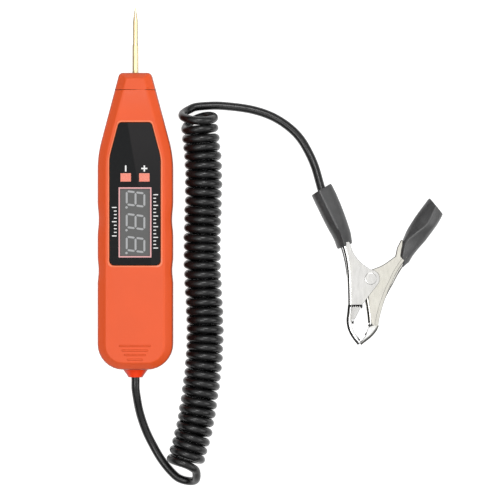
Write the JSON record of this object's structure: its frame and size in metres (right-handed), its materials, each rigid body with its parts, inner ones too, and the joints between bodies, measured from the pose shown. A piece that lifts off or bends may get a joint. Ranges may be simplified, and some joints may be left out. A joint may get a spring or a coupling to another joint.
{
  "type": "circuit test light",
  "caption": "Slim hand-held circuit tester with a needle probe, voltage display, polarity lamps, and a coiled ground lead ending in a crocodile clip.",
  "frame": {"origin": "middle of the tester's footprint from probe tip to cord gland, on the surface it lies on, without the free lead and its clip", "axes": "+Y towards the probe's tip, +Z out of the display, +X to the right seen from the display side, where the lead and clip lie"},
  "size_m": [0.1423, 0.1958, 0.0204],
  "materials": {
    "case_orange": "satin moulded ABS",
    "gland_orange": "soft moulded PVC",
    "brass": "polished, gold plated",
    "wire_red": "PVC insulated hook-up wire",
    "wire_black": "PVC insulated hook-up wire",
    "window_black": "glossy acrylic, two-tone",
    "frame_pink": "printed line",
    "display_face": "epoxy filled display face",
    "display_segment": "unlit light pipes",
    "lamp_lens": "translucent salmon lens",
    "lamp_body": "diffused epoxy",
    "print_white": "screen print",
    "board_green": "solder mask on fibreglass",
    "chip_black": "moulded epoxy",
    "component_tan": "ceramic",
    "plated_steel": "nickel plated",
    "clip_nickel": "bright nickel plated sheet",
    "spring_steel": "plated spring wire",
    "cord_black": "satin PVC jacket",
    "sleeve_black": "soft PVC"
  },
  "bodies": {
    "root": {"front_shell": "case_orange", "rear_shell": "case_orange", "nose_cap": "case_orange", "probe_tip": "brass", "probe_socket": "brass", "probe_wire": "wire_red", "window_panel": "window_black", "display_frame": "frame_pink", "display_module": "display_face", "display_segments": "display_segment", "display_pins": "plated_steel", "led_lens_minus": "lamp_lens", "led_lens_plus": "lamp_lens", "led_minus": "lamp_body", "led_plus": "lamp_body", "polarity_marks": "print_white", "scale_marks": "print_white", "circuit_board": "board_green", "controller_chip": "chip_black", "voltage_regulator": "chip_black", "board_components": "component_tan", "board_screws": "plated_steel", "case_screws": "plated_steel", "cord_gland": "gland_orange", "cord_collar": "plated_steel", "ground_wire": "wire_black", "cord_lead": "cord_black", "cord_curl": "cord_black", "cord_tail": "cord_black", "clip_jaw_fixed": "clip_nickel", "clip_rivet": "clip_nickel", "clip_spring": "spring_steel", "wire_crimp": "plated_steel", "sleeve_fixed": "sleeve_black"},
    "moving_jaw": {"clip_jaw_moving": "clip_nickel", "sleeve_moving": "sleeve_black"}
  },
  "joints": [
    {"name": "jaw_hinge", "type": "hinge", "parent": "root", "child": "moving_jaw", "pos_m": [0.0964, -0.0352, 0.0052], "axis": [0, 0, 1], "range_deg": [0, 30], "stiffness_Nm_per_rad": 0.1, "springref_deg": -34.38, "deforming": ["clip_spring"]}
  ]
}
